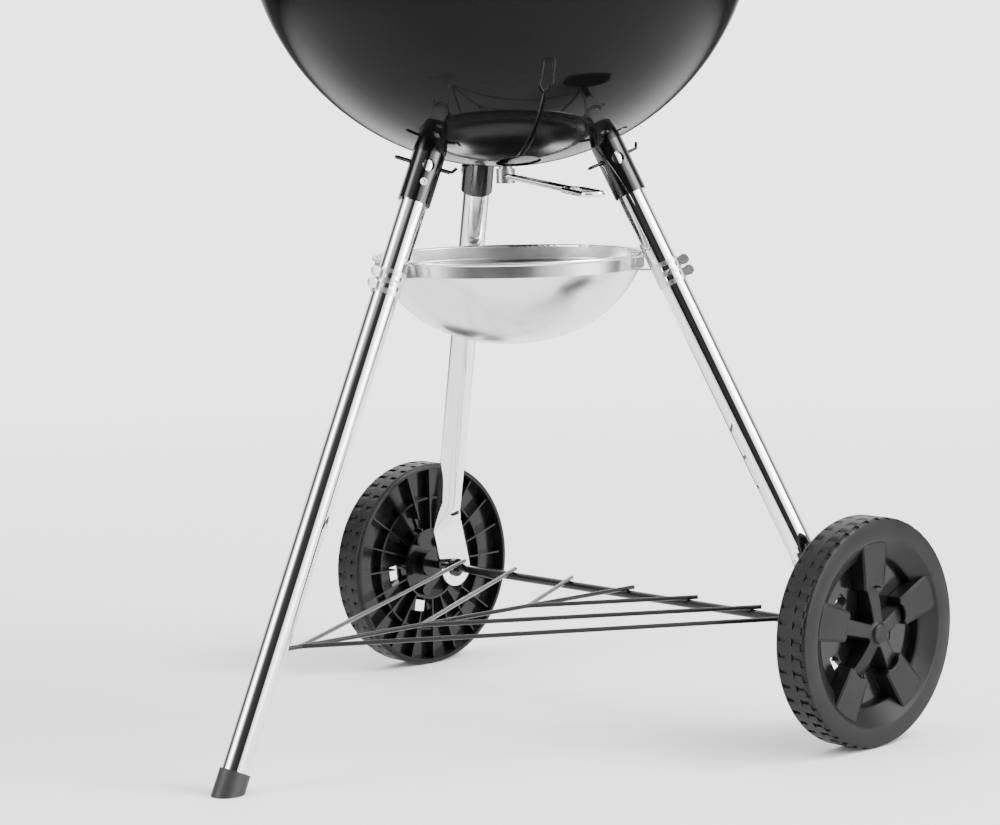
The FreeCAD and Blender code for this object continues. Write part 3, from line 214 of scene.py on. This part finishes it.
def new_piece(name, points, faces, matrix, body, slot, replaced, bevel=0.0):
    """A mesh piece given in its own frame (metres), shaded smooth across small angles."""
    mesh = bpy.data.meshes.new(name)
    mesh.from_pydata([tuple(matrix @ Vector(point)) for point in points], [], faces)
    mesh.validate()
    piece = bpy.data.objects.new(name, mesh)
    bpy.context.scene.collection.objects.link(piece)
    if bevel:
        modifier = piece.modifiers.new("bevel", "BEVEL")
        modifier.width = bevel
        modifier.segments = 2
        modifier.limit_method = "ANGLE"
        modifier.angle_limit = BEVEL_ABOVE
    for polygon in mesh.polygons:
        polygon.use_smooth = True
    mesh.set_sharp_from_angle(angle=SMOOTH_BELOW)
    dress(piece, materials[slot])
    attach(piece, body)
    if replaced:
        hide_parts(*replaced)


def tread_depth(share, across):
    """How deep the tread is cut at a share of its pitch and a distance across, outboard positive."""
    inboard = -0.0125 < across < -0.0050
    outboard = 0.0022 < across < 0.0118
    if share < 0.11 and (inboard or outboard):
        return GROOVE_DEPTH
    if share < 0.30 and 0.0022 < across < 0.0034:
        return GROOVE_DEPTH
    if 0.0118 <= across < 0.0150 and 0.11 <= share < 0.56:
        return SHOULDER_CUT_DEPTH
    return 0.0


def build_rim(name, side, body, replaced):
    """The tread, the outer face and the dished ring inside it, swept round the wheel."""
    edge = RIM_HALF_WIDTH
    tread = [-0.0132, -0.0126, -0.0124, -0.0051, -0.0049, 0.0021, 0.0023, 0.0033, 0.0035,
             0.0117, 0.0119]
    profile = [(-edge, 0.0966), (-edge, 0.0988), (-0.0156, 0.1003), (-0.0144, 0.1013)]
    profile += [(across, TREAD_RADIUS) for across in tread]
    profile += [
        (0.0135, 0.1014), (0.0149, 0.1008), (0.0158, 0.0999), (edge, 0.0988),
        (edge, 0.0840), (0.0159, 0.0830), (0.0153, 0.0822),
        (0.0072, 0.0690), (0.0063, 0.0672), (0.0052, 0.0664),
        (-0.0115, 0.0655), (-0.0115, 0.0675), (0.0030, 0.0684),
        (0.0118, 0.0830), (0.0128, 0.0850), (0.0128, 0.0966),
    ]
    shares = (0.0, 0.012, 0.105, 0.117, 0.29, 0.30, 0.55, 0.56, 0.78)
    points = []
    rings = []
    for block in range(TREAD_BLOCKS):
        for share in shares:
            angle = 2 * math.pi * (block + share) / TREAD_BLOCKS
            ring = []
            for across, radius in profile:
                cut = tread_depth(share + 0.001, across) if radius > TREAD_EDGE_RADIUS else 0.0
                ring.append(len(points))
                reach = radius - cut
                points.append((reach * math.cos(angle), reach * math.sin(angle), across))
            rings.append(ring)
    faces = []
    for index, ring in enumerate(rings):
        following = rings[(index + 1) % len(rings)]
        for step in range(len(ring)):
            after = (step + 1) % len(ring)
            faces.append((ring[step], following[step], following[after], ring[after]))
    new_piece(name, points, faces, wheel_matrix(side), body, "wheel_plastic", replaced)


def prism(points, faces, outline, low):
    """Adds a block whose top corners are (x, y, z) and whose bottom lies at low."""
    start = len(points)
    count = len(outline)
    points += [tuple(corner) for corner in outline]
    points += [(corner[0], corner[1], low) for corner in outline]
    faces.append(tuple(range(start, start + count)))
    faces.append(tuple(range(start + 2 * count - 1, start + count - 1, -1)))
    for step in range(count):
        after = (step + 1) % count
        faces.append((start + step, start + count + step, start + count + after, start + after))


def turned(outline, degrees):
    """The outline's corners turned round the wheel's axis."""
    angle = math.radians(degrees)
    c, s = math.cos(angle), math.sin(angle)
    return [(x * c - y * s, x * s + y * c, z) for x, y, z in outline]


def build_spokes(name, side, body, replaced):
    """Five spokes, each a wide paddle and a narrow bar, and the hub with its button."""
    points = []
    faces = []
    for index in range(SPOKES):
        degrees = SPOKE_PHASE + index * 360 / SPOKES
        for level, inset in ((0.0, 0.0), (0.0006, 0.0012)):
            paddle = [
                (0.0785, 0.0170, 0.0135), (0.0800, 0.0085, 0.0140), (0.0805, 0.0, 0.0141),
                (0.0800, -0.0085, 0.0140), (0.0785, -0.0170, 0.0135), (0.0560, -0.0150, 0.0132),
                (0.0400, -0.0134, 0.0122), (0.0385, -0.0085, 0.0122), (0.0412, -0.0055, 0.0124),
                (0.0422, 0.0, 0.0125), (0.0412, 0.0055, 0.0124), (0.0385, 0.0085, 0.0122),
                (0.0400, 0.0134, 0.0122), (0.0560, 0.0150, 0.0132),
            ]
            shape = []
            for x, y, z in paddle:
                drawn_in = math.copysign(inset, y) if abs(y) > 0.010 else 0.0
                shape.append((x, y - drawn_in, z + level))
            prism(points, faces, turned(shape, degrees)[::-1], SPOKE_BOTTOM)
        bar = [
            (0.0450, 0.0070, 0.0050), (0.0360, 0.0068, 0.0098), (0.0260, 0.0066, 0.0128),
            (0.0150, 0.0062, 0.0148), (0.0070, 0.0058, 0.0154), (0.0070, -0.0058, 0.0154),
            (0.0150, -0.0062, 0.0148), (0.0260, -0.0066, 0.0128), (0.0360, -0.0068, 0.0098),
            (0.0450, -0.0070, 0.0050),
        ]
        prism(points, faces, turned(bar, degrees)[::-1], SPOKE_BOTTOM)
    steps = HUB_STEPS
    rings = ((0.0130, SPOKE_BOTTOM), (0.0122, 0.0146), (0.0092, 0.0157), (0.0086, 0.0176),
             (0.0074, 0.0184), (0.0052, 0.0184), (0.0046, 0.01825), (0.0012, 0.01825))
    base = len(points)
    for radius, level in rings:
        for step in range(steps):
            angle = 2 * math.pi * step / steps
            points.append((radius * math.cos(angle), radius * math.sin(angle), level))
    for ring in range(len(rings) - 1):
        for step in range(steps):
            after = (step + 1) % steps
            low = base + ring * steps
            faces.append((low + step, low + after, low + steps + after, low + steps + step))
    last = base + (len(rings) - 1) * steps
    faces.append(tuple(last + step for step in range(steps)))
    new_piece(name, points, faces, wheel_matrix(side), body, "wheel_plastic", replaced, SPOKE_BEVEL)


def build_covers(name, side, body, covered):
    """Thin plates of the core that close it behind some of the gaps between the spokes."""
    points = []
    faces = []
    for number in covered:
        plate = [(0.036, -0.0085, -0.0008), (0.051, -0.0085, -0.0008),
                 (0.051, 0.0085, -0.0008), (0.036, 0.0085, -0.0008)]
        prism(points, faces, turned(plate, OPENING_PHASE + 72 * number), -0.0014)
    new_piece(name, points, faces, wheel_matrix(side), body, "wheel_core_plastic", [])


def build_wheels():
    for name, side in (("near", -1), ("back", 1)):
        body = f"wheel_{name}"
        build_rim(f"tread_and_face_{name}", side, body, [f"wheel_{name}_rim"])
        build_spokes(f"spokes_{name}", side, body, [f"wheel_{name}_spokes"])
        build_covers(f"core_covers_{name}", side, body, COVERED_GAPS[name])


# ------------------------------------------------------------ stage, lights
FLOOR_RADIUS = 14.0
FLOOR_LEVEL = 0.83
# distance from the middle where the floor starts to fade into the backdrop, and where it is gone
FLOOR_FADE = (0.7, 3.0)
KEY_PLACE = (2.0, -0.9, 2.6)
KEY_AIM = (0.2, 0, 0.2)
KEY_SIZE = 1.1
KEY_POWER = 85
BACKDROP_LEVEL = 3.2
CEILING_LEVEL = 2.8
# degrees round from the camera, to the right positive, and the level of the wall there
WALLS = (
    (-180, 2.6), (-142, 2.2), (-126, 0.15), (-94, 0.15), (-86, 2.5), (-70, 12.0), (-60, 5.0),
    (-50, 0.9), (-38, 0.12), (-20, 0.06), (18, 0.03), (27, 2.2), (45, 4.0), (66, 14.0), (84, 9.0),
    (94, 0.25), (122, 0.35), (138, 2.0), (180, 2.6),
)
# height of a direction (sine of its elevation) and how much of its light is the wall's
WALL_SHARE = ((-1, 1.0), (0.55, 1.0), (0.85, 0.0), (1, 0.0))
BELOW_HORIZON = ((-1, 0.04), (-0.12, 0.06), (-0.02, 0.4), (0.06, 1.0), (1, 1.0))


def make_floor():
    """A pale matt floor that fades into the backdrop."""
    bpy.ops.mesh.primitive_circle_add(vertices=96, radius=FLOOR_RADIUS, fill_type="NGON")
    floor = bpy.context.object
    floor.name = "floor"
    shader = Shader("floor")
    tree = shader.tree
    shader.put(Metallic=0.0, Roughness=0.9, Specular_IOR_Level=0.0)
    shader.surface.inputs["Base Color"].default_value = (FLOOR_LEVEL, FLOOR_LEVEL, FLOOR_LEVEL, 1)
    length = tree.nodes.new("ShaderNodeVectorMath")
    length.operation = "LENGTH"
    shader.link(shader.place, length.inputs[0])
    fade = tree.nodes.new("ShaderNodeMapRange")
    fade.interpolation_type = "SMOOTHSTEP"
    fade.inputs["From Min"].default_value = FLOOR_FADE[0]
    fade.inputs["From Max"].default_value = FLOOR_FADE[1]
    shader.link(length.outputs["Value"], fade.inputs["Value"])
    clear = tree.nodes.new("ShaderNodeBsdfTransparent")
    mix = tree.nodes.new("ShaderNodeMixShader")
    shader.link(fade.outputs[0], mix.inputs[0])
    shader.link(shader.surface.outputs[0], mix.inputs[1])
    shader.link(clear.outputs[0], mix.inputs[2])
    shader.link(mix.outputs[0], shader.output.inputs["Surface"])
    dress(floor, shader.material)


def make_world():
    """A plain pale backdrop for the camera; the object itself is lit by a room with broad soft
    windows at the sides and a dim wall behind the camera, so that polished metal shows its form."""
    world = bpy.data.worlds.new("studio")
    bpy.context.scene.world = world
    world.use_nodes = True
    tree = world.node_tree
    tree.nodes.clear()
    way = tree.nodes.new("ShaderNodeTexCoord").outputs["Generated"]

    def joined(node, *sources):
        for socket, source in zip(node.inputs, sources):
            if isinstance(source, (int, float, Vector)):
                socket.default_value = source
            else:
                tree.links.new(source, socket)
        return node

    def calculate(operation, *sources):
        node = tree.nodes.new("ShaderNodeMath")
        node.operation = operation
        return joined(node, *sources).outputs[0]

    def along(direction):
        node = tree.nodes.new("ShaderNodeVectorMath")
        node.operation = "DOT_PRODUCT"
        return joined(node, way, Vector(direction)).outputs["Value"]

    def profile(source, stops, low, high):
        """Piecewise linear levels; stops are (position, level) and run from low to high."""
        share = calculate("DIVIDE", calculate("SUBTRACT", source, low), high - low)
        ramp = tree.nodes.new("ShaderNodeValToRGB")
        ramp.color_ramp.interpolation = "LINEAR"
        elements = ramp.color_ramp.elements
        while len(elements) < len(stops):
            elements.new(0.5)
        brightest = max(level for position, level in stops)
        for element, (position, level) in zip(elements, stops):
            element.position = (position - low) / (high - low)
            element.color = (*[level / brightest] * 3, 1)
        tree.links.new(share, ramp.inputs[0])
        return calculate("MULTIPLY", ramp.outputs["Color"], brightest)

    to_camera = (math.sin(CAMERA_AZIMUTH), -math.cos(CAMERA_AZIMUTH), 0)
    to_right = (math.cos(CAMERA_AZIMUTH), math.sin(CAMERA_AZIMUTH), 0)
    turn = calculate("ARCTAN2", along(to_right), along(to_camera))
    azimuth = calculate("MULTIPLY", turn, 180 / math.pi)
    walls = profile(azimuth, WALLS, -180, 180)
    height = along((0, 0, 1))
    share = profile(height, WALL_SHARE, -1, 1)
    ceiling = calculate("MULTIPLY", calculate("SUBTRACT", 1, share), CEILING_LEVEL)
    level = calculate("ADD", calculate("MULTIPLY", walls, share), ceiling)
    level = calculate("MULTIPLY", level, profile(height, BELOW_HORIZON, -1, 1))
    light = tree.nodes.new("ShaderNodeBackground")
    tree.links.new(level, light.inputs["Strength"])
    seen = tree.nodes.new("ShaderNodeBackground")
    seen.inputs["Strength"].default_value = BACKDROP_LEVEL
    for background in (light, seen):
        background.inputs["Color"].default_value = (1, 1, 1, 1)
    path = tree.nodes.new("ShaderNodeLightPath")
    mix = tree.nodes.new("ShaderNodeMixShader")
    tree.links.new(path.outputs["Is Camera Ray"], mix.inputs[0])
    tree.links.new(light.outputs[0], mix.inputs[1])
    tree.links.new(seen.outputs[0], mix.inputs[2])
    output = tree.nodes.new("ShaderNodeOutputWorld")
    tree.links.new(mix.outputs[0], output.inputs[0])


def make_key_light():
    data = bpy.data.lights.new("key", "AREA")
    data.shape = "RECTANGLE"
    data.size = KEY_SIZE
    data.size_y = KEY_SIZE
    data.energy = KEY_POWER
    light = bpy.data.objects.new("key", data)
    bpy.context.scene.collection.objects.link(light)
    light.location = KEY_PLACE
    light.rotation_mode = "QUATERNION"
    light.rotation_quaternion = (Vector(KEY_AIM) - Vector(KEY_PLACE)).to_track_quat("-Z", "Y")


materials = make_materials()
for entry in frame["record"]["subparts"]:
    name = entry["node"]
    slot = "socket_enamel" if name.startswith("leg_socket") else entry["material_slot"]
    dress(frame["nodes"][name], materials[slot])
build_wheels()
make_floor()
make_world()
make_key_light()
make_camera()
